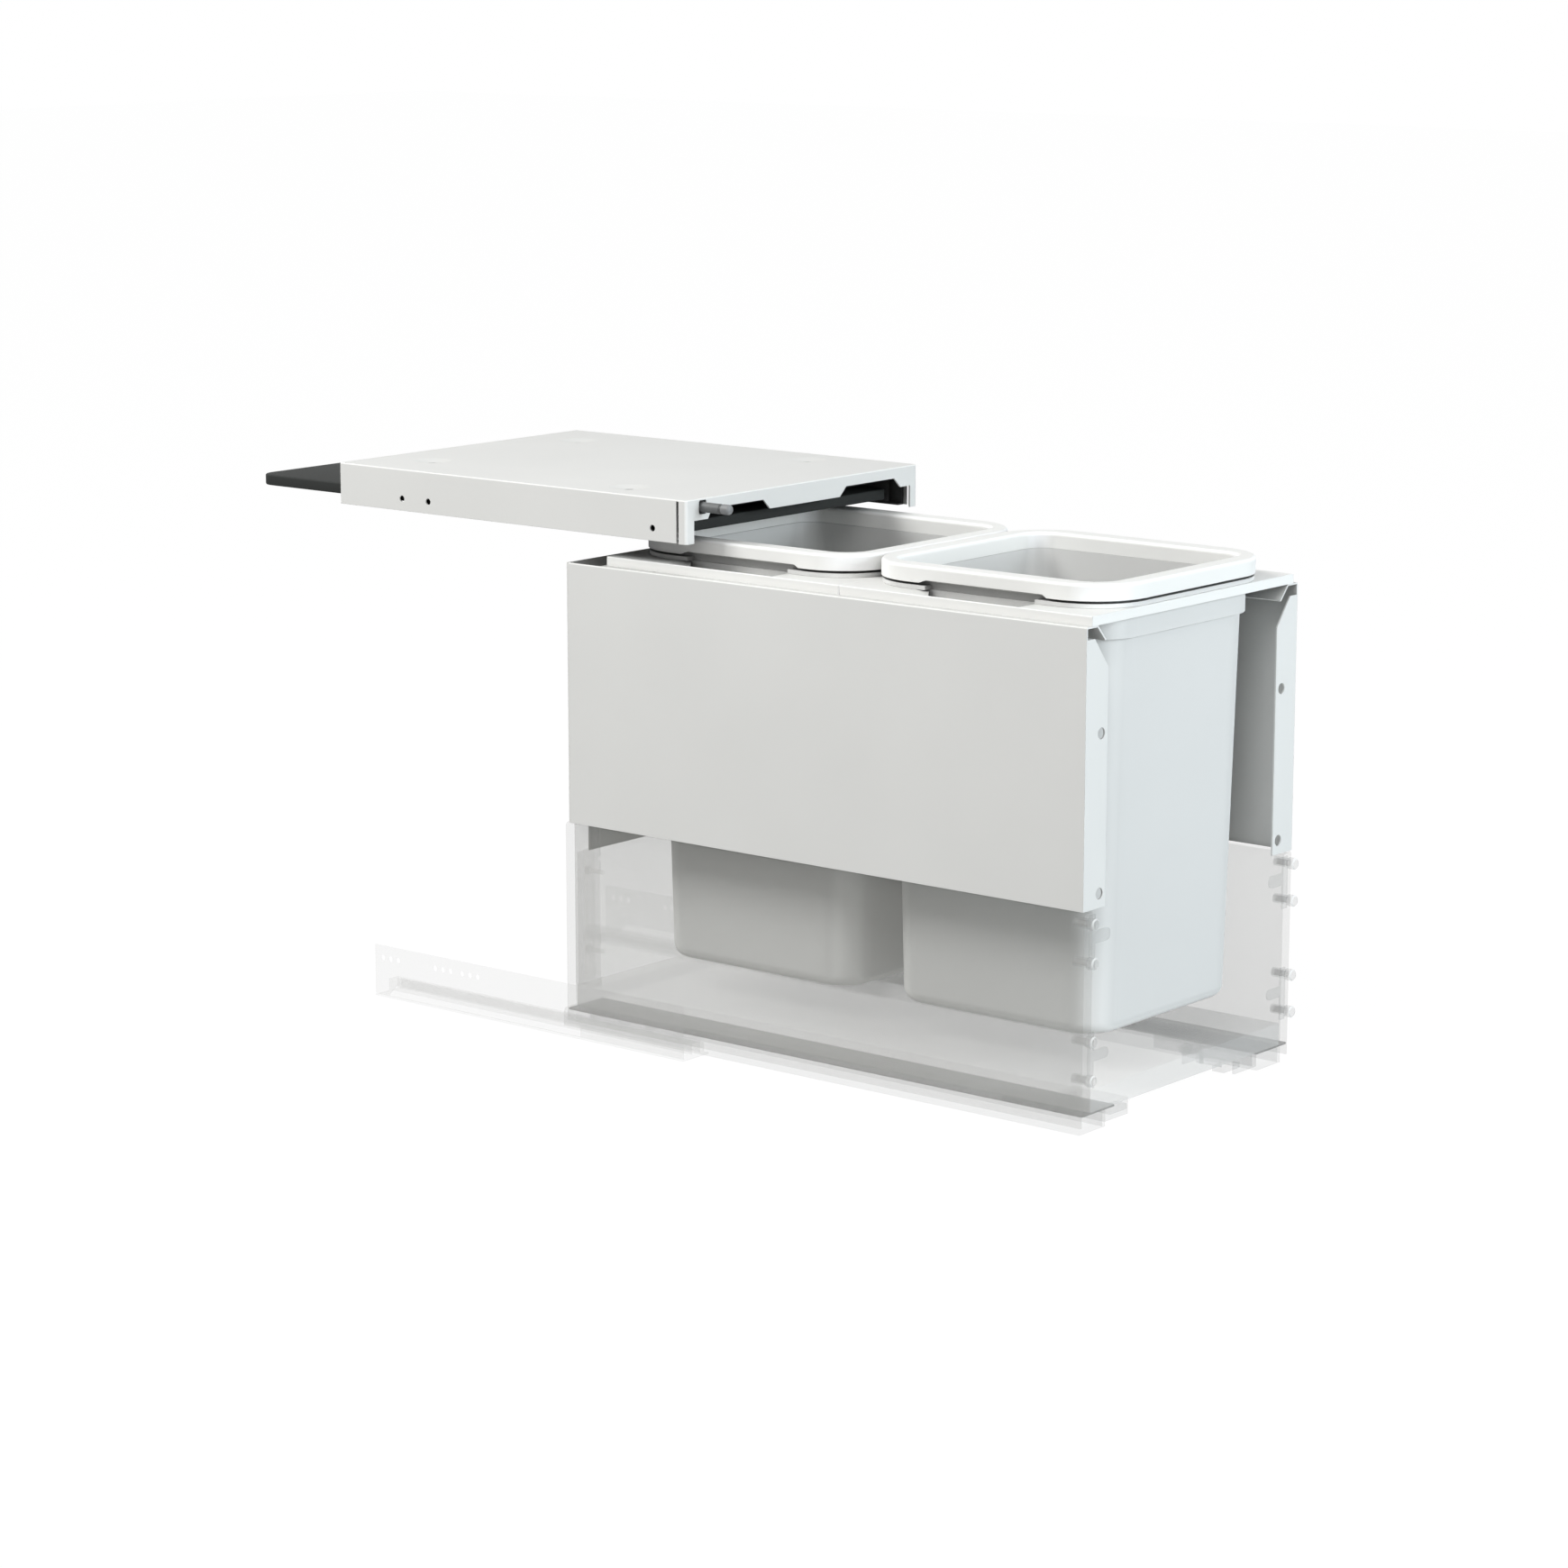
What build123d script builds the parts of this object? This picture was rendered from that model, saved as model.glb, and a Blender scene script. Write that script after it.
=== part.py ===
from build123d import *
import os
from math import atan2, degrees, hypot

os.makedirs("parts", exist_ok=True)

# X runs across the cabinet, Y into it from the carcase's front edge, Z up from its floor.
# Lengths are millimetres. The drawer is drawn pulled out, with the lid raised.

sheet = 1.2  # bent sheet of the cover, the frame and the cabinet runners
drawer_sheet = 1.5  # roll-formed sheet of the drawer sides and runners
sides = (("left", -1), ("right", 1))

# Cover
cover_half = 133.5
cover_front = 2.0
cover_back = 345.2
cover_top = 409.5
cover_under = cover_top - sheet
cover_inner = cover_half - sheet
flange_bottom = 378.3
flange_front = 11.3
ear_bottom = 378.0
ear_back = 9.2
ear_inner = 124.8
ear_radius = 3.0
bend_radius = 1.1
apron_bottom = 394.3
cut_top = 401.5
cut_wide = 112.8
cut_narrow = 40.4
cut_slope = 7.5
cut_left_wide = 109.6  # stops short of the plunger's slot
cut_left_slope = 4.4
side_hole_ys = (33.6, 254.1, 281.0)
side_hole_z = 387.3
side_hole_radius = 2.4
dimple_spots = ((-82.0, 298.0), (82.0, 298.0), (-102.0, 83.0), (102.0, 83.0))
dimple_radius = 14.5
dimple_floor_radius = 5.4
dimple_depth = 2.0
dimple_hole_radius = 4.2
dimple_hole_land = 0.3  # the hole opens out downwards from here
dimple_hole_under = 5.3

# Plunger and its guides
plunger_x = -115.5
plunger_z = 403.3
plunger_radius = 3.7
plunger_slot_half = 4.0
plunger_slot_bottom = 398.3
plunger_slot_corner = 1.5
tip_front = -24.7
tip_back = -17.0
tip_nose = 3.1
neck_back = -15.5
neck_radius = 3.0
shoulder = 40.0
rod_radius = 2.0
rod_end = 114.0
running_gap = 0.1
guide_half = 6.3
guide_bottom = 397.0
guide_back = 18.0
rod_guide_front = 100.0
rod_guide_back = 108.0
coil_radius = 2.7
wire_radius = 0.3
coil_turns = 13

# Lid, its pins, their guides and the carriage that lowers it
push = 30.0
drop = 5.1
lid_half = 119.0
lid_front = 20.0
lid_back = 449.5
lid_bottom = 383.0
lid_top = 391.0
lid_front_corner = 4.0
lid_back_corner = 14.0
lid_edge = 1.0
pin_radius = 2.0
pin_z = 388.0
pin_ys = (60.0, 300.0)
pin_inner = 109.0
pin_outer = 131.8
slot_width = 2 * (pin_radius + running_gap)
lid_guide_sheet = 1.5
lid_guide_front = 14.0
lid_guide_back = 338.0
lid_guide_top = 404.0
lid_guide_lip = 125.5
access_radius = 4.5
bar_inner = 126.0
bar_outer = 128.0
bar_front = 24.0
bar_back = 312.0
bar_bottom = 379.8
bar_top = 396.0
strap_bottom = 393.0
strap_top = 394.5
strap_width = 12.0
strap_ys = (44.0, 290.0)
tab_top = 406.3
tab_half = 5.5
tab_sheet = 1.5

# Cabinet runner
runner_front = 7.4
runner_back = 318.0
runner_top = 40.5
floor_flange = 104.4
lip_top = 8.0
rail_front = 12.0
rail_outer = 119.0
rail_inner = 109.0
rail_top = 10.5
window_front = 107.0
window_back = 305.0
window_bottom = 1.8
window_top = 11.0
screw_z = 31.0
screw_radius = 2.3
screw_groups = (27.0, 55.0, 219.0, 247.0, 302.0)
screw_pitch = 8.0

# Roller cage
cage_front = 12.0
cage_length = 110.0
cage_outer = 121.3
cage_inner = 106.7
cage_wall = 1.2
cage_bottom = 4.0
cage_deck = 12.3
cage_top = 15.5
roller_radius = 3.0
roller_z = 13.9
roller_half = 3.7
roller_gap = 0.4
roller_x = 114.0
roller_steps = (15.0, 42.0, 68.0, 95.0)
window_half = 4.0
axle_radius = 1.0
axle_half = 5.2

# Drawer runner
member_front = -336.8
member_back = 132.0
member_outer = 124.0
member_inner = 93.5
member_bottom = 5.0
member_top = 18.8
member_nose = 1.4

# Drawer sides, floor and back
drawer_front = -341.0
drawer_back_end = 125.0
side_outer = 127.5
side_inner = 116.5
side_bottom = 11.0
side_top = 161.0
ledge_inner = 88.0
floor_bottom = 20.0
floor_top = 36.0
back_front = 109.0
back_half = 108.0
back_top = 137.0

# Back brackets and their screws
bracket_back = drawer_back_end + sheet
bracket_top = 158.0
bracket_flange = 96.0
pad_zs = (39.5, 71.5, 127.0, 138.0)
pad_half = 3.5
pad_depth = 1.5
pad_inner = 108.8
back_screw_x = 101.0
back_screw_zs = (60.0, 120.0)
back_screw_end = 112.0

# Screws
shank_radius = 1.75
head_radius = 3.5
head_height = 2.2
head_edge = 0.8

# Front brackets and their dowels
bracket_sheet = 1.5
dowel_x = 122.5
dowel_radius = 4.2
dowel_end = -348.3
dowel_nose = 1.0
spigot_radius = 2.2
spigot_back = -331.0
boss_radius = 3.4
plate_inner = 115.3
plate_outer = 121.0
plate_margin = 5.5
hook_inner = 98.0
hook_radius = 3.7
bracket_sets = {"upper": ((152.7, 125.7), (137.8, 146.5)), "lower": ((71.3, 44.3), (56.0, 63.6))}

# Frame
frame_outer = 127.8
frame_front = -340.9
frame_back_face = 121.2
frame_inner_back = frame_back_face - sheet
frame_top = 353.9
frame_bottom = side_top
front_flange_inner = 102.5
front_flange_top = 345.3
chamfer_start = 118.3
chamfer_bottom = 324.5
flange_hole_x = 109.6
flange_hole_zs = (280.4, 171.0)
flange_hole_radius = 4.0
top_flange_inner = 115.0
top_flange_back = 90.0
lip_tip_x = 105.5
lip_tip_z = 343.5
rear_flange_inner = 112.0
tongue_half = 107.0
frame_screw_x = 122.8
frame_screw_zs = (311.0, 174.0)
frame_screw_end = 110.0

# Bins, bag rings and top plates
bin_centres = {"front": -234.2, "rear": -19.6}
ring_half_x = 104.0
ring_half_y = 106.8
ring_radius = 44.0
ring_bottom = 365.7
ring_top = 377.6
ring_land = 16.3
ring_edge = 2.5
ring_inner_edge = 3.0
opening_radius = 18.0
notch_top = 367.9
notch_front = 56.0  # how far the notch reaches before and behind the bin's centre
notch_back = 52.0
notch_front_slope = 3.4
notch_back_slope = 6.2
notch_depth = 7.5
plate_half = 121.8
plate_top = 360.7
plate_edge = 0.8
plate_corner = 1.5  # where the two plates meet
plate_split = -126.5
plate_back = 87.5
hole_inset = 5.5
recess_floor = 355.4
recess_inner = ring_half_x - hole_inset
recess_outer = 120.6
recess_front = 46.0  # how far the recess reaches before and behind the bin's centre
recess_back_outer = 31.0
recess_back_inner = 47.0
ramp_back = 55.0
ramp_depth = 2.5
collar_inset = 6.7
collar_bottom = 338.5
rim_inset = 0.8
rim_bottom = plate_top + running_gap
rim_top = 363.8
neck_inset = 8.0
neck_top = ring_bottom - running_gap
bead_outset = 8.5
bead_inset = 11.0
bead_top = 369.0
bead_gap = 0.3
body_top_inset = 10.4
body_foot_inset = 17.6
bin_bottom = 61.5
foot_radius = 9.0
mouth_inset = 16.6
mouth_radius = opening_radius - bead_gap
throat_inset = 13.2
throat_z = 325.0
cavity_foot_inset = 19.8
cavity_floor = 64.0
cavity_radius = 7.0

# Catches under the drawer floor
catch_inner = 66.0
catch_outer = member_inner
catch_front = -337.0
catch_back = -292.0
catch_tail = -250.0
catch_bottom = 8.0
catch_ceiling = 17.3
catch_wall = 2.0
pivot_x = 76.0
pivot_y = -302.0
pivot_radius = 1.5
pivot_gap = 0.08
lever_half = 4.0
lever_front = -332.0
lever_bottom = 9.2
lever_top = 13.2
grip_inner = 60.0
grip_width = 10.0
wheel_y = -281.0
wheel_z = 12.8
wheel_radius = 4.0
wheel_inner = 84.0
wheel_outer = 90.0
wheel_slot = 1.0


def upright(y):
    """Plane across the cabinet at the given Y, facing forwards."""
    return Plane.XZ.offset(-y)


def box(x0, x1, y0, y1, z0, z1, mode=Mode.ADD):
    """Block between the given coordinates."""
    with Locations(((x0 + x1) / 2, (y0 + y1) / 2, (z0 + z1) / 2)):
        Box(abs(x1 - x0), abs(y1 - y0), abs(z1 - z0), mode=mode)


def ring_outline(inset):
    """Outline of a bag ring, moved inwards by the given amount."""
    RectangleRounded(
        2 * (ring_half_x - inset), 2 * (ring_half_y - inset), ring_radius - inset
    )


def ring_opening(inset, radius):
    """Outline of the opening in a bag ring, with its own corner radius."""
    RectangleRounded(2 * (ring_half_x - inset), 2 * (ring_half_y - inset), radius)


def screw(x, z, seat, end):
    """Pan head screw along Y: the head's seat and the thread's end."""
    with Locations((x, (seat + end) / 2, z)):
        Cylinder(shank_radius, seat - end, rotation=(90, 0, 0))
    with Locations((x, seat + head_height / 2, z)):
        Cylinder(head_radius, head_height, rotation=(90, 0, 0))


# ---------------------------------------------------------------- cover

with BuildPart() as cover_sheet:
    with BuildSketch(upright(cover_back)):
        with BuildLine():
            Polyline(
                (-cover_half, flange_bottom),
                (-cover_half, cover_top),
                (cover_half, cover_top),
                (cover_half, flange_bottom),
                (cover_inner, flange_bottom),
                (cover_inner, cover_under),
                (-cover_inner, cover_under),
                (-cover_inner, flange_bottom),
                close=True,
            )
        make_face()
    extrude(amount=cover_back - flange_front)
    box(-cover_half, cover_half, cover_front, flange_front, cover_under, cover_top)
    with BuildSketch(upright(cover_front + sheet)):
        with BuildLine():
            Polyline(
                (-cover_half, cover_top),
                (-cover_half, ear_bottom),
                (-ear_inner, ear_bottom),
                (-ear_inner, apron_bottom),
                (-cut_left_wide, apron_bottom),
                (-cut_left_wide + cut_left_slope, cut_top),
                (-cut_narrow - cut_slope, cut_top),
                (-cut_narrow, apron_bottom),
                (cut_narrow, apron_bottom),
                (cut_narrow + cut_slope, cut_top),
                (cut_wide - cut_slope, cut_top),
                (cut_wide, apron_bottom),
                (ear_inner, apron_bottom),
                (ear_inner, ear_bottom),
                (cover_half, ear_bottom),
                (cover_half, cover_top),
                close=True,
            )
        make_face()
        with Locations((plunger_x, (plunger_slot_bottom + cover_under) / 2)):
            RectangleRounded(
                2 * plunger_slot_half,
                cover_under - plunger_slot_bottom,
                plunger_slot_corner,
                mode=Mode.SUBTRACT,
            )
    extrude(amount=sheet)
    for _, s in sides:
        box(s * cover_inner, s * cover_half, cover_front, ear_back, ear_bottom, cover_top)
    fillet(
        cover_sheet.edges()
        .filter_by(Axis.Z)
        .filter_by(lambda e: abs(e.center().X) > cover_half - 0.1 and e.center().Y < 2.1),
        ear_radius,
    )
    fillet(
        cover_sheet.edges()
        .filter_by_position(Axis.Z, cover_top - 0.01, cover_top + 0.01)
        .filter_by(lambda e: abs(e.center().X) > cover_inner or e.center().Y < 2.1),
        bend_radius,
    )
    for x, y in dimple_spots:
        with Locations((x, y, cover_under - dimple_depth)):
            Cone(
                dimple_floor_radius + sheet / 2,
                dimple_radius + sheet / 2,
                dimple_depth,
                align=(Align.CENTER, Align.CENTER, Align.MIN),
            )
        with Locations((x, y, cover_top - dimple_depth)):
            Cone(
                dimple_floor_radius,
                dimple_radius,
                dimple_depth,
                align=(Align.CENTER, Align.CENTER, Align.MIN),
                mode=Mode.SUBTRACT,
            )
        with Locations((x, y, cover_top - dimple_depth)):
            Cylinder(dimple_hole_radius, 4 * sheet, mode=Mode.SUBTRACT)
        with Locations((x, y, cover_under - dimple_depth)):
            Cone(
                dimple_hole_under,
                dimple_hole_radius,
                sheet - dimple_hole_land,
                align=(Align.CENTER, Align.CENTER, Align.MIN),
                mode=Mode.SUBTRACT,
            )
    with BuildSketch(Plane.YZ.offset(-cover_half)):
        with Locations(*[(y, side_hole_z) for y in side_hole_ys]):
            Circle(side_hole_radius)
    extrude(amount=2 * cover_half, mode=Mode.SUBTRACT)
cover_sheet.part.label = "cover_sheet"
export_step(cover_sheet.part, "parts/cover_sheet.step")

# Each guide has upright slots for the lid's pins and a lip that the carriage slides on.
for side, s in sides:
    guide_face = cover_inner - lid_guide_sheet
    with BuildPart() as lid_guide:
        with BuildSketch(upright(lid_guide_back)):
            with BuildLine():
                Polyline(
                    (s * cover_inner, flange_bottom),
                    (s * cover_inner, lid_guide_top),
                    (s * guide_face, lid_guide_top),
                    (s * guide_face, flange_bottom + sheet),
                    (s * lid_guide_lip, flange_bottom + sheet),
                    (s * lid_guide_lip, flange_bottom),
                    close=True,
                )
            make_face()
        extrude(amount=lid_guide_back - lid_guide_front)
        with BuildSketch(Plane.YZ.offset(s * cover_inner)):
            with Locations(*[(y, pin_z - drop / 2) for y in pin_ys]):
                SlotCenterToCenter(drop, slot_width, rotation=90)
            with Locations(*[(y, side_hole_z) for y in side_hole_ys]):
                Circle(access_radius)
        extrude(amount=-s * lid_guide_sheet, mode=Mode.SUBTRACT)
    lid_guide.part.label = f"lid_guide_{side}"
    export_step(lid_guide.part, f"parts/lid_guide_{side}.step")

with BuildPart() as plunger_guide:
    with BuildSketch(upright(guide_back)):
        with Locations((plunger_x, (guide_bottom + cover_under) / 2)):
            Rectangle(2 * guide_half, cover_under - guide_bottom)
        with Locations((plunger_x, plunger_z)):
            Circle(plunger_radius + running_gap, mode=Mode.SUBTRACT)
    extrude(amount=guide_back - cover_front - sheet)
plunger_guide.part.label = "plunger_guide"
export_step(plunger_guide.part, "parts/plunger_guide.step")

with BuildPart() as rod_guide:
    with BuildSketch(upright(rod_guide_back)):
        with Locations((plunger_x, (guide_bottom + cover_under) / 2)):
            Rectangle(2 * guide_half, cover_under - guide_bottom)
        with Locations((plunger_x, plunger_z)):
            Circle(rod_radius + running_gap, mode=Mode.SUBTRACT)
    extrude(amount=rod_guide_back - rod_guide_front)
rod_guide.part.label = "rod_guide"
export_step(rod_guide.part, "parts/rod_guide.step")

# The spring stands between the carriage's tab and the rod's guide.
coil_start = shoulder + tab_sheet + 2 * wire_radius
coil_length = rod_guide_front - wire_radius - coil_start
with BuildPart() as return_spring:
    with BuildLine() as coil:
        Helix(
            pitch=coil_length / coil_turns,
            height=coil_length,
            radius=coil_radius,
            center=(plunger_x, coil_start, plunger_z),
            direction=(0, 1, 0),
        )
    with BuildSketch(Plane(origin=coil.line @ 0, z_dir=coil.line % 0)):
        Circle(wire_radius)
    sweep()
return_spring.part.label = "return_spring"
export_step(return_spring.part, "parts/return_spring.step")

# ---------------------------------------------------------------- cabinet runners

for side, s in sides:
    with BuildPart() as cabinet_runner:
        box(s * cover_inner, s * cover_half, runner_front, runner_back, 0, runner_top)
        box(s * floor_flange, s * cover_inner, runner_front, runner_back, 0, sheet)
        box(s * floor_flange, s * (floor_flange + sheet), rail_front, runner_back, 0, lip_top)
        with BuildSketch(upright(runner_back)):
            with BuildLine():
                Polyline(
                    (s * rail_outer, sheet),
                    (s * rail_outer, rail_top),
                    (s * rail_inner, rail_top),
                    (s * rail_inner, sheet),
                    (s * (rail_inner + sheet), sheet),
                    (s * (rail_inner + sheet), rail_top - sheet),
                    (s * (rail_outer - sheet), rail_top - sheet),
                    (s * (rail_outer - sheet), sheet),
                    close=True,
                )
            make_face()
        extrude(amount=runner_back - rail_front)
        with BuildSketch(Plane.YZ.offset(s * cover_inner)):
            slope = window_top - window_bottom
            with BuildLine():
                Polyline(
                    (window_front, window_top),
                    (window_back - slope, window_top),
                    (window_back, window_bottom),
                    (window_front, window_bottom),
                    close=True,
                )
            make_face()
            for y in screw_groups:
                with Locations(*[(y + n * screw_pitch, screw_z) for n in (-1, 0, 1)]):
                    Circle(screw_radius)
        extrude(amount=s * sheet, mode=Mode.SUBTRACT)
    cabinet_runner.part.label = f"cabinet_runner_{side}"
    export_step(cabinet_runner.part, f"parts/cabinet_runner_{side}.step")

# ---------------------------------------------------------------- roller cages

roller_ys = [cage_front + step for step in roller_steps]
cage_back = cage_front + cage_length

for side, s in sides:
    with BuildPart() as roller_cage:
        with BuildSketch(upright(cage_back)):
            with BuildLine():
                Polyline(
                    (s * cage_outer, cage_bottom),
                    (s * cage_outer, cage_top),
                    (s * cage_inner, cage_top),
                    (s * cage_inner, cage_bottom),
                    (s * (cage_inner + cage_wall), cage_bottom),
                    (s * (cage_inner + cage_wall), cage_deck),
                    (s * (cage_outer - cage_wall), cage_deck),
                    (s * (cage_outer - cage_wall), cage_bottom),
                    close=True,
                )
            make_face()
        extrude(amount=cage_length)
        with BuildSketch(Plane.XY.offset(cage_top)):
            with Locations(*[(s * roller_x, y) for y in roller_ys]):
                Rectangle(2 * window_half, 2 * (roller_radius + roller_gap))
        extrude(amount=cage_deck - cage_top, mode=Mode.SUBTRACT)
        with BuildSketch(Plane.YZ.offset(s * roller_x - axle_half)):
            with Locations(*[(y, roller_z) for y in roller_ys]):
                Circle(axle_radius)
        extrude(amount=2 * axle_half, mode=Mode.SUBTRACT)
    roller_cage.part.label = f"roller_cage_{side}"
    export_step(roller_cage.part, f"parts/roller_cage_{side}.step")

with BuildPart() as cage_rollers:
    for _, s in sides:
        with BuildSketch(Plane.YZ.offset(s * roller_x)):
            with Locations(*[(y, roller_z) for y in roller_ys]):
                Circle(roller_radius)
        extrude(amount=roller_half, both=True)
        with BuildSketch(Plane.YZ.offset(s * roller_x)):
            with Locations(*[(y, roller_z) for y in roller_ys]):
                Circle(axle_radius)
        extrude(amount=axle_half, both=True)
cage_rollers.part.label = "cage_rollers"
export_step(cage_rollers.part, "parts/cage_rollers.step")

# ---------------------------------------------------------------- drawer runners and sides

for side, s in sides:
    with BuildPart() as drawer_runner:
        with BuildSketch(upright(member_back)):
            with BuildLine():
                Polyline(
                    (s * member_outer, member_bottom),
                    (s * member_outer, member_top),
                    (s * member_inner, member_top),
                    (s * member_inner, member_bottom),
                    (s * (member_inner + drawer_sheet), member_bottom),
                    (s * (member_inner + drawer_sheet), member_top - drawer_sheet),
                    (s * (member_outer - drawer_sheet), member_top - drawer_sheet),
                    (s * (member_outer - drawer_sheet), member_bottom),
                    close=True,
                )
            make_face()
        extrude(amount=member_back - member_front)
        box(
            s * member_inner,
            s * member_outer,
            member_front,
            member_front + drawer_sheet,
            member_bottom,
            member_top,
        )
        fillet(
            drawer_runner.edges()
            .filter_by_position(Axis.Y, member_front - 0.01, member_front + 0.01)
            .filter_by(lambda e: e.center().Z < member_bottom + 0.1),
            member_nose,
        )
    drawer_runner.part.label = f"drawer_runner_{side}"
    export_step(drawer_runner.part, f"parts/drawer_runner_{side}.step")

for side, s in sides:
    skin_outer = side_outer - drawer_sheet
    skin_inner = side_inner + drawer_sheet
    with BuildPart() as drawer_side:
        with BuildSketch(upright(drawer_back_end)):
            with BuildLine():
                Polyline(
                    (s * side_outer, side_bottom),
                    (s * side_outer, side_top),
                    (s * side_inner, side_top),
                    (s * side_inner, floor_bottom),
                    (s * ledge_inner, floor_bottom),
                    (s * ledge_inner, member_top),
                    (s * skin_outer, member_top),
                    (s * skin_outer, side_bottom),
                    close=True,
                )
            make_face()
            with BuildLine():
                Polyline(
                    (s * skin_outer, floor_bottom),
                    (s * skin_outer, side_top - drawer_sheet),
                    (s * skin_inner, side_top - drawer_sheet),
                    (s * skin_inner, floor_bottom),
                    close=True,
                )
            make_face(mode=Mode.SUBTRACT)
        extrude(amount=drawer_back_end - drawer_front)
    drawer_side.part.label = f"drawer_side_{side}"
    export_step(drawer_side.part, f"parts/drawer_side_{side}.step")

with BuildPart() as drawer_floor:
    box(-side_inner, side_inner, drawer_front, drawer_back_end, floor_bottom, floor_top)
drawer_floor.part.label = "drawer_floor"
export_step(drawer_floor.part, "parts/drawer_floor.step")

back_screw_spots = [(s * back_screw_x, z) for _, s in sides for z in back_screw_zs]

with BuildPart() as drawer_back:
    box(-back_half, back_half, back_front, drawer_back_end, floor_top, back_top)
    with BuildSketch(upright(drawer_back_end)):
        with Locations(*back_screw_spots):
            Circle(shank_radius)
    extrude(amount=drawer_back_end - back_screw_end, mode=Mode.SUBTRACT)
drawer_back.part.label = "drawer_back"
export_step(drawer_back.part, "parts/drawer_back.step")

# Each back bracket stands between the back and a drawer side, and folds behind the back.
for side, s in sides:
    with BuildPart() as back_bracket:
        with BuildSketch(Plane.XY.offset(floor_top)):
            with BuildLine():
                Polyline(
                    (s * back_half, back_front),
                    (s * side_inner, back_front),
                    (s * side_inner, bracket_back),
                    (s * bracket_flange, bracket_back),
                    (s * bracket_flange, drawer_back_end),
                    (s * (side_inner - sheet), drawer_back_end),
                    (s * (side_inner - sheet), back_front + sheet),
                    (s * back_half, back_front + sheet),
                    close=True,
                )
            make_face()
        extrude(amount=bracket_top - floor_top)
        for z in pad_zs:
            box(
                s * pad_inner,
                s * side_inner,
                back_front - pad_depth,
                back_front,
                max(z - pad_half, floor_top),
                z + pad_half,
            )
        box(
            s * bracket_flange,
            s * (side_inner - sheet),
            drawer_back_end,
            bracket_back,
            back_top - sheet,
            bracket_top,
            mode=Mode.SUBTRACT,
        )
        with BuildSketch(upright(bracket_back)):
            with Locations(*[(s * back_screw_x, z) for z in back_screw_zs]):
                Circle(shank_radius)
        extrude(amount=sheet, mode=Mode.SUBTRACT)
    back_bracket.part.label = f"back_bracket_{side}"
    export_step(back_bracket.part, f"parts/back_bracket_{side}.step")

with BuildPart() as back_screws:
    for x, z in back_screw_spots:
        screw(x, z, bracket_back, back_screw_end)
back_screws.part.label = "back_screws"
export_step(back_screws.part, "parts/back_screws.step")

# ---------------------------------------------------------------- front brackets

for side, s in sides:
    for level, (dowel_zs, hook_zs) in bracket_sets.items():
        top = max(dowel_zs) + plate_margin
        bottom = min(dowel_zs) - plate_margin
        with BuildPart() as front_bracket:
            with BuildSketch(upright(drawer_front)):
                with BuildLine():
                    Polyline(
                        (s * plate_outer, bottom),
                        (s * plate_outer, top),
                        (s * plate_inner, top),
                        (s * plate_inner, hook_zs[1]),
                        (s * hook_inner, hook_zs[1]),
                        (s * hook_inner, hook_zs[0]),
                        (s * plate_inner, hook_zs[0]),
                        (s * plate_inner, bottom),
                        close=True,
                    )
                make_face()
                with Locations(*[(s * dowel_x, z) for z in dowel_zs]):
                    Circle(boss_radius)
            extrude(amount=bracket_sheet)
            with BuildSketch(upright(spigot_back)):
                with Locations(*[(s * dowel_x, z) for z in dowel_zs]):
                    Circle(boss_radius)
            extrude(amount=spigot_back - drawer_front)
            fillet(
                front_bracket.edges()
                .filter_by(Axis.Y)
                .filter_by(lambda e: abs(e.center().X) < hook_inner + 0.1),
                hook_radius,
            )
            with BuildSketch(upright(spigot_back)):
                with Locations(*[(s * dowel_x, z) for z in dowel_zs]):
                    Circle(spigot_radius)
            extrude(amount=spigot_back - drawer_front + bracket_sheet, mode=Mode.SUBTRACT)
        front_bracket.part.label = f"front_bracket_{side}_{level}"
        export_step(front_bracket.part, f"parts/front_bracket_{side}_{level}.step")

dowel_spots = [
    (s * dowel_x, z) for _, s in sides for zs, _ in bracket_sets.values() for z in zs
]
with BuildPart() as front_dowels:
    with BuildSketch(upright(spigot_back)):
        with Locations(*dowel_spots):
            Circle(spigot_radius)
    extrude(amount=spigot_back - drawer_front + bracket_sheet)
    with BuildSketch(upright(drawer_front - bracket_sheet)):
        with Locations(*dowel_spots):
            Circle(dowel_radius)
    extrude(amount=drawer_front - bracket_sheet - dowel_end)
    fillet(
        front_dowels.edges().filter_by_position(Axis.Y, dowel_end - 0.01, dowel_end + 0.01),
        dowel_nose,
    )
front_dowels.part.label = "front_dowels"
export_step(front_dowels.part, "parts/front_dowels.step")

# ---------------------------------------------------------------- frame

lip_length = hypot(top_flange_inner - lip_tip_x, frame_top - lip_tip_z)
lip_dx = (top_flange_inner - lip_tip_x) / lip_length
lip_dz = (frame_top - lip_tip_z) / lip_length
lip_under_x = top_flange_inner + sheet * (1 - lip_dx) / lip_dz

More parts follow.
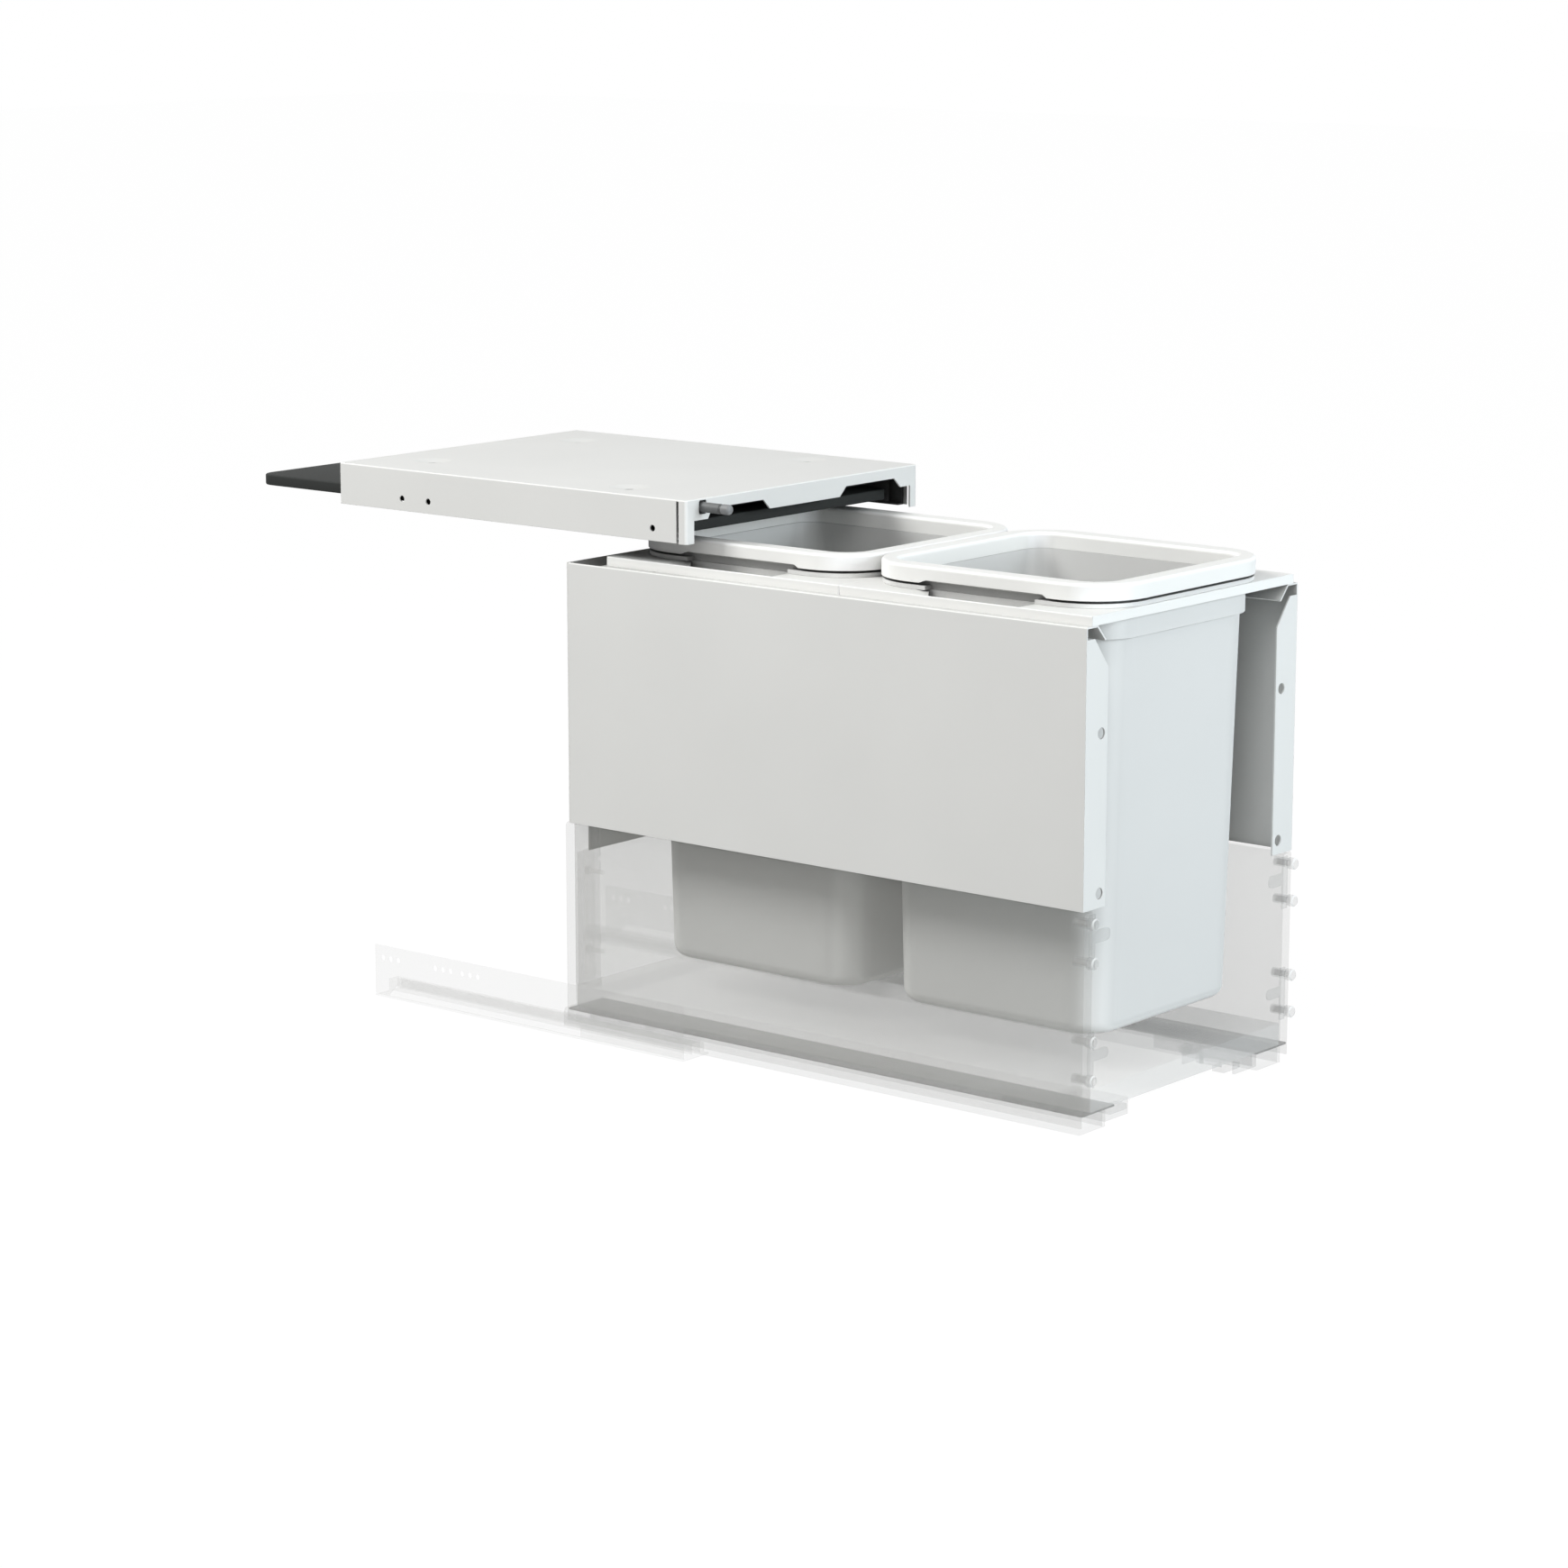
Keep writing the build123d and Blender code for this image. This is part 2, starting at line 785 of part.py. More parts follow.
for side, s in sides:
    with BuildPart() as frame_side:
        box(s * (frame_outer - sheet), s * frame_outer, frame_front, frame_inner_back,
            frame_bottom, frame_top)
        with BuildSketch(upright(top_flange_back)):
            with BuildLine():
                Polyline(
                    (s * frame_outer, frame_top),
                    (s * top_flange_inner, frame_top),
                    (s * lip_tip_x, lip_tip_z),
                    (s * (lip_tip_x + sheet * lip_dz), lip_tip_z - sheet * lip_dx),
                    (s * lip_under_x, frame_top - sheet),
                    (s * frame_outer, frame_top - sheet),
                    close=True,
                )
            make_face()
        extrude(amount=top_flange_back - frame_front)
        with BuildSketch(upright(frame_front + sheet)):
            with BuildLine():
                Polyline(
                    (s * frame_outer, frame_bottom),
                    (s * frame_outer, front_flange_top),
                    (s * chamfer_start, front_flange_top),
                    (s * front_flange_inner, chamfer_bottom),
                    (s * front_flange_inner, frame_bottom),
                    close=True,
                )
            make_face()
            with Locations(*[(s * flange_hole_x, z) for z in flange_hole_zs]):
                Circle(flange_hole_radius, mode=Mode.SUBTRACT)
        extrude(amount=sheet)
        box(s * rear_flange_inner, s * frame_outer, frame_inner_back - sheet,
            frame_inner_back, frame_bottom, lip_tip_z)
        with BuildSketch(upright(frame_inner_back)):
            with Locations(*[(s * frame_screw_x, z) for z in frame_screw_zs]):
                Circle(shank_radius)
        extrude(amount=sheet, mode=Mode.SUBTRACT)
        fillet(
            frame_side.edges()
            .filter_by(Axis.Y)
            .filter_by(lambda e: abs(e.center().X) > frame_outer - 0.1)
            .filter_by(lambda e: e.center().Z > frame_top - 0.1),
            bend_radius,
        )
    frame_side.part.label = f"frame_side_{side}"
    export_step(frame_side.part, f"parts/frame_side_{side}.step")

frame_screw_spots = [(s * frame_screw_x, z) for _, s in sides for z in frame_screw_zs]

with BuildPart() as frame_back:
    with BuildSketch(upright(frame_back_face)):
        with BuildLine():
            Polyline(
                (-frame_outer, frame_top),
                (-frame_outer, frame_bottom),
                (-tongue_half, frame_bottom),
                (-tongue_half, back_top),
                (tongue_half, back_top),
                (tongue_half, frame_bottom),
                (frame_outer, frame_bottom),
                (frame_outer, frame_top),
                close=True,
            )
        make_face()
        with Locations(*frame_screw_spots):
            Circle(shank_radius, mode=Mode.SUBTRACT)
    extrude(amount=sheet)
frame_back.part.label = "frame_back"
export_step(frame_back.part, "parts/frame_back.step")

with BuildPart() as frame_screws:
    for x, z in frame_screw_spots:
        screw(x, z, frame_back_face, frame_screw_end)
    fillet(
        frame_screws.edges().filter_by_position(
            Axis.Y, frame_back_face + head_height - 0.01, frame_back_face + head_height + 0.01
        ),
        head_edge,
    )
frame_screws.part.label = "frame_screws"
export_step(frame_screws.part, "parts/frame_screws.step")

# ---------------------------------------------------------------- top plates

plate_ends = {"front": (drawer_front, plate_split), "rear": (plate_split, plate_back)}
for name, (y0, y1) in plate_ends.items():
    centre = bin_centres[name]
    with BuildPart() as top_plate:
        box(-plate_half, plate_half, y0, y1, frame_top, plate_top)
        fillet(
            top_plate.edges()
            .filter_by(Axis.Z)
            .filter_by_position(Axis.Y, plate_split - 0.01, plate_split + 0.01),
            plate_corner,
        )
        fillet(
            top_plate.edges()
            .filter_by(Axis.Y)
            .filter_by_position(Axis.Z, plate_top - 0.01, plate_top + 0.01),
            plate_edge,
        )
        with BuildSketch(Plane.XY.offset(frame_top)):
            with Locations((0, centre)):
                ring_outline(hole_inset)
        extrude(amount=plate_top - frame_top, mode=Mode.SUBTRACT)
        for _, s in sides:
            with BuildSketch(Plane.XY.offset(plate_top)):
                with BuildLine():
                    Polyline(
                        (s * recess_outer, centre - recess_front),
                        (s * recess_outer, centre + recess_back_outer),
                        (s * recess_inner, centre + recess_back_inner),
                        (s * recess_inner, centre - recess_front),
                        close=True,
                    )
                make_face()
            extrude(amount=recess_floor - plate_top, mode=Mode.SUBTRACT)
            with BuildSketch(Plane.YZ.offset(s * recess_inner)):
                with BuildLine():
                    Polyline(
                        (centre + recess_back_outer, plate_top),
                        (centre + ramp_back, plate_top),
                        (centre + recess_back_outer, plate_top - ramp_depth),
                        close=True,
                    )
                make_face()
            extrude(amount=s * (recess_outer - recess_inner), mode=Mode.SUBTRACT)
    top_plate.part.label = f"top_plate_{name}"
    export_step(top_plate.part, f"parts/top_plate_{name}.step")

# ---------------------------------------------------------------- bins and bag rings

for name, centre in bin_centres.items():
    with BuildPart() as cavity:
        with BuildSketch(Plane.XY.offset(cavity_floor)):
            with Locations((0, centre)):
                ring_outline(cavity_foot_inset)
        with BuildSketch(Plane.XY.offset(throat_z)):
            with Locations((0, centre)):
                ring_outline(throat_inset)
        loft()
        fillet(cavity.edges().group_by(Axis.Z)[0], cavity_radius)
        with BuildSketch(Plane.XY.offset(throat_z)):
            with Locations((0, centre)):
                ring_outline(throat_inset)
        with BuildSketch(Plane.XY.offset(neck_top)):
            with Locations((0, centre)):
                ring_opening(mouth_inset, mouth_radius)
        loft()

    with BuildPart() as waste_bin:
        with BuildSketch(Plane.XY.offset(bin_bottom)):
            with Locations((0, centre)):
                ring_outline(body_foot_inset)
        with BuildSketch(Plane.XY.offset(collar_bottom)):
            with Locations((0, centre)):
                ring_outline(body_top_inset)
        loft()
        fillet(waste_bin.edges().group_by(Axis.Z)[0], foot_radius)
        with BuildSketch(Plane.XY.offset(collar_bottom)):
            with Locations((0, centre)):
                ring_outline(collar_inset)
        extrude(amount=rim_bottom - collar_bottom)
        with BuildSketch(Plane.XY.offset(rim_bottom)):
            with Locations((0, centre)):
                ring_outline(rim_inset)
        extrude(amount=rim_top - rim_bottom)
        for _, s in sides:
            box(s * (ring_half_x - neck_inset), s * ring_half_x,
                centre - recess_front, centre + recess_back_inner,
                rim_bottom, rim_top, mode=Mode.SUBTRACT)
        with BuildSketch(Plane.XY.offset(rim_top)):
            with Locations((0, centre)):
                ring_outline(neck_inset)
        extrude(amount=neck_top - rim_top)
        with BuildSketch(Plane.XY.offset(neck_top)):
            with Locations((0, centre)):
                ring_outline(bead_outset)
        extrude(amount=bead_top - neck_top)
        with BuildSketch(Plane.XY.offset(neck_top)):
            with Locations((0, centre)):
                ring_outline(bead_inset)
        extrude(amount=bead_top - neck_top, mode=Mode.SUBTRACT)
        add(cavity.part, mode=Mode.SUBTRACT)
    waste_bin.part.label = f"{name}_bin"
    export_step(waste_bin.part, f"parts/{name}_bin.step")

    with BuildPart() as bag_ring:
        with BuildSketch(Plane.XY.offset(ring_bottom)):
            with Locations((0, centre)):
                ring_outline(0)
        extrude(amount=ring_top - ring_bottom)
        fillet(
            bag_ring.edges().filter_by_position(Axis.Z, ring_top - 0.01, ring_top + 0.01),
            ring_edge,
        )
        with BuildSketch(Plane.XY.offset(ring_bottom)):
            with Locations((0, centre)):
                ring_opening(ring_land, opening_radius)
        extrude(amount=ring_top - ring_bottom, mode=Mode.SUBTRACT)
        fillet(
            bag_ring.edges()
            .filter_by_position(Axis.Z, ring_top - 0.01, ring_top + 0.01)
            .filter_by(lambda e: e.bounding_box().max.X < ring_half_x - ring_land + 0.1),
            ring_inner_edge,
        )
        with BuildSketch(Plane.XY.offset(ring_bottom)):
            with Locations((0, centre)):
                ring_outline(bead_outset - bead_gap)
                RectangleRounded(
                    2 * (ring_half_x - bead_inset - bead_gap),
                    2 * (ring_half_y - bead_inset - bead_gap),
                    ring_radius - bead_inset - bead_gap,
                    mode=Mode.SUBTRACT,
                )
        extrude(amount=bead_top + bead_gap - ring_bottom, mode=Mode.SUBTRACT)
        for _, s in sides:
            with BuildSketch(Plane.YZ.offset(s * ring_half_x)):
                with BuildLine():
                    Polyline(
                        (centre - notch_front, ring_bottom),
                        (centre - notch_front + notch_front_slope, notch_top),
                        (centre + notch_back - notch_back_slope, notch_top),
                        (centre + notch_back, ring_bottom),
                        close=True,
                    )
                make_face()
            extrude(amount=-s * notch_depth, mode=Mode.SUBTRACT)
    bag_ring.part.label = f"{name}_bag_ring"
    export_step(bag_ring.part, f"parts/{name}_bag_ring.step")

# ---------------------------------------------------------------- lid mechanism

with BuildPart() as plunger:
    with BuildSketch(upright(rod_end)):
        with Locations((plunger_x, plunger_z)):
            Circle(rod_radius)
    extrude(amount=rod_end - shoulder)
    with BuildSketch(upright(shoulder)):
        with Locations((plunger_x, plunger_z)):
            Circle(plunger_radius)
    extrude(amount=shoulder - neck_back)
    with BuildSketch(upright(neck_back)):
        with Locations((plunger_x, plunger_z)):
            Circle(neck_radius)
    extrude(amount=neck_back - tip_back)
plunger.part.label = "plunger"
export_step(plunger.part, "parts/plunger.step")

with BuildPart() as plunger_tip:
    with BuildSketch(upright(tip_back)):
        with Locations((plunger_x, plunger_z)):
            Circle(plunger_radius)
    extrude(amount=tip_back - tip_front)
    fillet(
        plunger_tip.edges().filter_by_position(Axis.Y, tip_front - 0.01, tip_front + 0.01),
        tip_nose,
    )
plunger_tip.part.label = "plunger_tip"
export_step(plunger_tip.part, "parts/plunger_tip.step")

slot_angle = degrees(atan2(drop, push))
with BuildPart() as lid_carriage:
    for _, s in sides:
        with BuildSketch(Plane.YZ.offset(s * bar_inner)):
            with Locations(((bar_front + bar_back) / 2, (bar_bottom + bar_top) / 2)):
                Rectangle(bar_back - bar_front, bar_top - bar_bottom)
            with Locations(*[(y - push / 2, pin_z - drop / 2) for y in pin_ys]):
                SlotCenterToCenter(
                    hypot(push, drop), slot_width, rotation=slot_angle, mode=Mode.SUBTRACT
                )
            with Locations((side_hole_ys[1], side_hole_z)):
                Circle(access_radius, mode=Mode.SUBTRACT)
        extrude(amount=s * (bar_outer - bar_inner))
    for y in strap_ys:
        box(
            -bar_inner,
            bar_inner,
            y - strap_width / 2,
            y + strap_width / 2,
            strap_bottom,
            strap_top,
        )
    with BuildSketch(upright(shoulder + tab_sheet)):
        with Locations((plunger_x, (strap_bottom + tab_top) / 2)):
            Rectangle(2 * tab_half, tab_top - strap_bottom)
        with Locations((plunger_x, plunger_z)):
            Circle(rod_radius, mode=Mode.SUBTRACT)
    extrude(amount=tab_sheet)
lid_carriage.part.label = "lid_carriage"
export_step(lid_carriage.part, "parts/lid_carriage.step")

with BuildPart() as inner_lid:
    with BuildSketch(Plane.XY.offset(lid_bottom)):
        with Locations((0, (lid_front + lid_back) / 2)):
            Rectangle(2 * lid_half, lid_back - lid_front)
    extrude(amount=lid_top - lid_bottom)
    fillet(inner_lid.edges().filter_by(Axis.Z).group_by(Axis.Y)[0], lid_front_corner)
    fillet(inner_lid.edges().filter_by(Axis.Z).group_by(Axis.Y)[-1], lid_back_corner)
    fillet(inner_lid.faces().filter_by(Axis.Z).edges(), lid_edge)
    with BuildSketch(Plane.YZ.offset(-lid_half)):
        with Locations(*[(y, pin_z) for y in pin_ys]):
            Circle(pin_radius)
    extrude(amount=lid_half - pin_inner, mode=Mode.SUBTRACT)
    with BuildSketch(Plane.YZ.offset(pin_inner)):
        with Locations(*[(y, pin_z) for y in pin_ys]):
            Circle(pin_radius)
    extrude(amount=lid_half - pin_inner, mode=Mode.SUBTRACT)
inner_lid.part.label = "inner_lid"
export_step(inner_lid.part, "parts/inner_lid.step")

with BuildPart() as lid_pins:
    for x in (-pin_outer, pin_inner):
        with BuildSketch(Plane.YZ.offset(x)):
            with Locations(*[(y, pin_z) for y in pin_ys]):
                Circle(pin_radius)
        extrude(amount=pin_outer - pin_inner)
lid_pins.part.label = "lid_pins"
export_step(lid_pins.part, "parts/lid_pins.step")

# ---------------------------------------------------------------- catches

for side, s in sides:
    with BuildPart() as catch_housing:
        with BuildSketch(upright(catch_back)):
            with BuildLine():
                Polyline(
                    (s * catch_inner, catch_ceiling),
                    (s * catch_inner, floor_bottom),
                    (s * ledge_inner, floor_bottom),
                    (s * ledge_inner, member_top),
                    (s * catch_outer, member_top),
                    (s * catch_outer, catch_bottom),
                    (s * (catch_outer - catch_wall), catch_bottom),
                    (s * (catch_outer - catch_wall), catch_ceiling),
                    close=True,
                )
            make_face()
        extrude(amount=catch_back - catch_front)
        for y in (catch_front, catch_back - catch_wall):
            box(s * catch_inner, s * catch_outer, y, y + catch_wall, catch_bottom, catch_ceiling)
        box(
            s * (catch_outer - catch_wall),
            s * catch_outer,
            catch_back,
            catch_tail,
            catch_bottom,
            catch_ceiling,
        )
        with BuildSketch(Plane.XY.offset(catch_ceiling)):
            with Locations((s * pivot_x, pivot_y)):
                Circle(pivot_radius)
        extrude(amount=catch_bottom - catch_ceiling)
        with BuildSketch(Plane.YZ.offset(s * catch_outer)):
            with Locations((wheel_y, wheel_z)):
                Circle(pivot_radius + pivot_gap)
        extrude(amount=-s * catch_wall, mode=Mode.SUBTRACT)
    catch_housing.part.label = f"catch_housing_{side}"
    export_step(catch_housing.part, f"parts/catch_housing_{side}.step")

    with BuildPart() as catch_lever:
        with BuildSketch(Plane.XY.offset(lever_bottom)):
            with Locations((s * pivot_x, (lever_front + pivot_y) / 2)):
                Rectangle(2 * lever_half, pivot_y - lever_front)
            with Locations((s * pivot_x, pivot_y)):
                Circle(lever_half)
            with Locations((s * (grip_inner + pivot_x) / 2, lever_front + grip_width / 2)):
                Rectangle(pivot_x - grip_inner, grip_width)
            with Locations((s * pivot_x, pivot_y)):
                Circle(pivot_radius + pivot_gap, mode=Mode.SUBTRACT)
        extrude(amount=lever_top - lever_bottom)
    catch_lever.part.label = f"catch_lever_{side}"
    export_step(catch_lever.part, f"parts/catch_lever_{side}.step")

    with BuildPart() as height_wheel:
        with BuildSketch(Plane.YZ.offset(s * wheel_inner)):
            with Locations((wheel_y, wheel_z)):
                Circle(wheel_radius)
        extrude(amount=s * (wheel_outer - wheel_inner))
        with BuildSketch(Plane.YZ.offset(s * wheel_outer)):
            with Locations((wheel_y, wheel_z)):
                Circle(pivot_radius)
        extrude(amount=s * (catch_outer - wheel_outer))
        with BuildSketch(Plane.YZ.offset(s * wheel_inner)):
            with Locations((wheel_y, wheel_z)):
                Rectangle(2 * wheel_radius, wheel_slot)
        extrude(amount=s * wheel_slot, mode=Mode.SUBTRACT)
    height_wheel.part.label = f"height_wheel_{side}"
    export_step(height_wheel.part, f"parts/height_wheel_{side}.step")
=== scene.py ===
# %% [markdown]
# # A pull-out waste unit for a kitchen cabinet
# The unit is a tall white sheet frame with two bins, standing on a see-through drawer that runs
# out from under a fixed sheet cover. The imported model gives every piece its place, so the
# script starts by loading it, and everything made later goes where the model says.

from math import radians

import bmesh
import bpy
from mathutils import Matrix, Vector


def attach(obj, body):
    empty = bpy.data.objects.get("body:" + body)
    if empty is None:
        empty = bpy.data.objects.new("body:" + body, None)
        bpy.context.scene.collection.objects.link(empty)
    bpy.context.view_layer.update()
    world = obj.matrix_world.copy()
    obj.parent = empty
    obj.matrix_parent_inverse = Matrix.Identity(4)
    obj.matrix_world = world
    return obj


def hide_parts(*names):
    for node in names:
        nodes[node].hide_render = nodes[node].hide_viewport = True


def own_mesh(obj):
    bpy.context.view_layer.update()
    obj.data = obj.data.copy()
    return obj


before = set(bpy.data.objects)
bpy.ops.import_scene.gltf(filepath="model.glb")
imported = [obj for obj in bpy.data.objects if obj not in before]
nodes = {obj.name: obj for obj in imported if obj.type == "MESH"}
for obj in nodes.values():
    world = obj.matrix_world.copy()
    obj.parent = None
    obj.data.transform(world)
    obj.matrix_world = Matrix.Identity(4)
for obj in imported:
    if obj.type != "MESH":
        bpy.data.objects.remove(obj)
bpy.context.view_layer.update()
scene = bpy.context.scene
MM = 0.001

# %% [markdown]
# ## The camera
# The unit is seen from the front left, a little from above, through a long lens that keeps
# upright edges nearly parallel. A camera looks along its own -Z axis, so the way from the
# object to the camera gives its turn. The Standard view shows colours as they are, and the
# light may go through many see-through walls on its way.

# %% Camera
camera_place = Vector((-2448.7, -1983.6, 820.9)) * MM
towards_camera = Vector((-0.7584, -0.6212, 0.1977))
lens_mm, sensor_mm = 100, 36
clear_walls_in_a_row = 40

camera = bpy.data.objects.new("camera", bpy.data.cameras.new("camera"))
scene.collection.objects.link(camera)
camera.data.lens = lens_mm
camera.data.sensor_width = sensor_mm
camera.location = camera_place
camera.rotation_euler = towards_camera.to_track_quat("Z", "Y").to_euler()
scene.camera = camera
scene.view_settings.view_transform = "Standard"
scene.cycles.transparent_max_bounces = clear_walls_in_a_row
print("camera at", tuple(round(v, 3) for v in camera_place))

# %% [markdown]
# ## Adding and joining nodes
# Every finish here is a small tree of nodes. One function adds a node and sets its plain
# values, and another joins an output of one node to an input of the next. A socket goes by
# its name where the name is its own, and by its number where several share one.


# %% Adding and joining nodes
def add(tree, kind, values=None, **settings):
    node = tree.nodes.new("ShaderNode" + kind)
    for setting, value in settings.items():
        setattr(node, setting, value)
    for socket, value in (values or {}).items():
        node.inputs[socket].default_value = value
    return node


def join(tree, *links):
    for node, output, target, socket in links:
        tree.links.new(node.outputs[output], target.inputs[socket])


def empty_tree(holder):
    """The node tree of a material or world, with the nodes it starts with taken out."""
    holder.use_nodes = True
    holder.node_tree.nodes.clear()
    return holder.node_tree


print("ready:", add.__name__, join.__name__, empty_tree.__name__)

# %% [markdown]
# ## Floor
# The unit stands on a wide white floor. The camera sees it mostly as an even glow, just
# bright enough to run into the white behind it, and the small share that is left shows the
# shadow that falls on it. All other rays meet a matt grey, so that the floor lights the unit
# from below no more than a real one would.

# %% Floor
floor_half_width = 12
floor_drop = 2 * MM
floor_glow = 1.07
floor_glow_share = 0.92
floor_grey = (0.40, 0.40, 0.40, 1)


def floor_finish():
    material = bpy.data.materials.new("white_floor")
    tree = empty_tree(material)
    out = add(tree, "OutputMaterial")
    mix = add(tree, "MixShader")
    path = add(tree, "LightPath")
    share = add(tree, "Math", {1: floor_glow_share}, operation="MULTIPLY")
    glow = add(tree, "Emission", {"Strength": floor_glow})
    matt = add(tree, "BsdfDiffuse", {"Color": floor_grey})
    join(tree, (path, "Is Camera Ray", share, 0), (share, 0, mix, 0), (matt, 0, mix, 1),
         (glow, 0, mix, 2), (mix, 0, out, "Surface"))
    return material


bm = bmesh.new()
bmesh.ops.create_grid(bm, x_segments=1, y_segments=1, size=floor_half_width)
bmesh.ops.translate(bm, verts=bm.verts, vec=(0, 0, -floor_drop))
mesh = bpy.data.meshes.new("floor")
bm.to_mesh(mesh)
bm.free()
mesh.materials.append(floor_finish())
floor = bpy.data.objects.new("floor", mesh)
scene.collection.objects.link(floor)
print("floor", 2 * floor_half_width, "m wide")

# %% [markdown]
# ## Lamps and room
# A weak even world reaches every side, and three wide lamps do the rest: one on the left and
# a little behind draws the folds, a weak one on the left lights the round corners of the
# rings, and a low cool one in front lights the bins' insides under the cover. To the camera,
# through clear walls and in reflections, the world is plain white.

# %% Lamps and room
lamp_width = 1.2
lamp_aim = Vector((0, 0, 0.3))
room_light = 0.30
white = (1, 1, 1, 1)


def lamp(name, place, watts, colour):
    light = bpy.data.lights.new(name, "AREA")
    light.size = lamp_width
    light.energy = watts
    light.color = colour
    lamp_object = bpy.data.objects.new(name, light)
    lamp_object.location = place
    lamp_object.rotation_euler = (Vector(place) - lamp_aim).to_track_quat("Z", "Y").to_euler()
    scene.collection.objects.link(lamp_object)


lamp("left_lamp", (-1.87, 1.08, 2.24), 56, (1.0, 1.0, 0.98))
lamp("low_lamp", (0.49, -2.79, 0.90), 54, (0.86, 0.95, 1.0))
lamp("corner_lamp", (-1.92, -1.11, 2.16), 16, (1.0, 1.0, 1.0))

scene.world = bpy.data.worlds.new("white_room")
sky = empty_tree(scene.world)
room = add(sky, "Background", {"Color": white, "Strength": room_light})
backdrop = add(sky, "Background", {"Color": white, "Strength": 1.0})
path = add(sky, "LightPath")
straight_ray = add(sky, "Math", operation="MAXIMUM")
seen_ray = add(sky, "Math", operation="MAXIMUM")
choose = add(sky, "MixShader")
sky_out = add(sky, "OutputWorld")
join(sky, (path, "Is Camera Ray", straight_ray, 0), (path, "Is Transmission Ray", straight_ray, 1),
     (straight_ray, 0, seen_ray, 0), (path, "Is Glossy Ray", seen_ray, 1),
     (seen_ray, 0, choose, 0), (room, 0, choose, 1), (backdrop, 0, choose, 2),
     (choose, 0, sky_out, "Surface"))

# %% [markdown]
# ## Cloud and grain
# Powder coat and moulded plastic are never one flat colour. A soft noise shifts the colour by
# a few percent over a hand's width, and a fine noise makes the surface a little rougher here
# and smoother there. Both read Object coordinates, so the grain has its real size on every
# piece.

# %% Cloud and grain
refraction = 1.45


def cloudy_colour(tree, place, colour, scale, darker):
    """A colour that drifts between itself and a slightly darker one."""
    cloud = add(tree, "TexNoise", {"Scale": scale})
    ramp = add(tree, "ValToRGB")
    dark_end, light_end = ramp.color_ramp.elements
    dark_end.position, light_end.position = 0.3, 0.7
    dark_end.color = [c * (1 - darker) for c in colour] + [1]
    light_end.color = list(colour) + [1]
    join(tree, (place, "Object", cloud, "Vector"), (cloud, "Fac", ramp, "Fac"))
    return ramp


def grainy_gloss(tree, place, shader, grain, detail, roughness, swing):
    """A fine noise that moves the roughness up and down by the swing."""
    fine = add(tree, "TexNoise", {"Scale": grain, "Detail": detail})
    spread = add(tree, "MapRange", {"To Min": roughness - swing, "To Max": roughness + swing})
    join(tree, (place, "Object", fine, "Vector"), (fine, "Fac", spread, "Value"),
         (spread, 0, shader, "Roughness"))
    return fine


print("refraction of every finish", refraction)

# %% [markdown]
# ## Painted fold highlights and crevice shade
# A Bevel node turns the shading of sharp edges as if each were rounded by half a millimetre.
# Most flat faces look along an axis, and for such a direction the fourth powers of its three
# parts add up to 1. On a fold the direction lies between two faces and the sum is smaller, and
# there the colour is lighter: a painted highlight along the edges of bent sheet and moulded
# rims, standing in for the light they catch. In grooves and recesses, where little light gets
# in, an Ambient Occlusion node makes the colour darker: painted shade.

# %% Painted fold highlights and crevice shade
fold_radius = 0.5 * MM
# Painted shade: within this reach an Ambient Occlusion node darkens the colour, down to the share
# set below.
crevice_reach = 35 * MM
darkest_painted_shade = 0.25
# The sockets of a Mix node that mixes colours.
COLOUR_A, COLOUR_B, MIXED = 6, 7, 2


# Painted highlight: where the rounded normal lies between two faces, the colour is mixed towards
# itself times edge.
def painted_fold_highlight(tree, base, rounding, colour, edge):
    squared = add(tree, "VectorMath", operation="MULTIPLY")
    flatness = add(tree, "VectorMath", operation="DOT_PRODUCT")
    on_edge = add(tree, "MapRange",
                  {"From Min": 0.6, "From Max": 0.9, "To Min": 1.0, "To Max": 0.0})
    edged = add(tree, "Mix", data_type="RGBA")
    edged.inputs[COLOUR_B].default_value = [min(1.0, c * edge) for c in colour] + [1]
    for part in (0, 1):
        join(tree, (rounding, 0, squared, part), (squared, 0, flatness, part))
    join(tree, (flatness, "Value", on_edge, "Value"), (on_edge, 0, edged, 0),
         (base, "Color", edged, COLOUR_A))
    return edged


def painted_crevice_shade(tree, base, open_from):
    """Painted shade: full colour where the open share of the view is over open_from, darker below
    it.
    """
    crevice = add(tree, "AmbientOcclusion", {"Distance": crevice_reach}, samples=4)
    depth = add(tree, "MapRange", {"From Max": open_from, "To Min": darkest_painted_shade})
    shaded = add(tree, "Mix", data_type="RGBA", blend_type="MULTIPLY")
    shaded.inputs[0].default_value = 1.0
    join(tree, (crevice, "AO", depth, "Value"), (base, MIXED, shaded, COLOUR_A),
         (depth, 0, shaded, COLOUR_B))
    return shaded


print("folds rounded by", fold_radius / MM, "mm, crevices within", crevice_reach / MM, "mm")
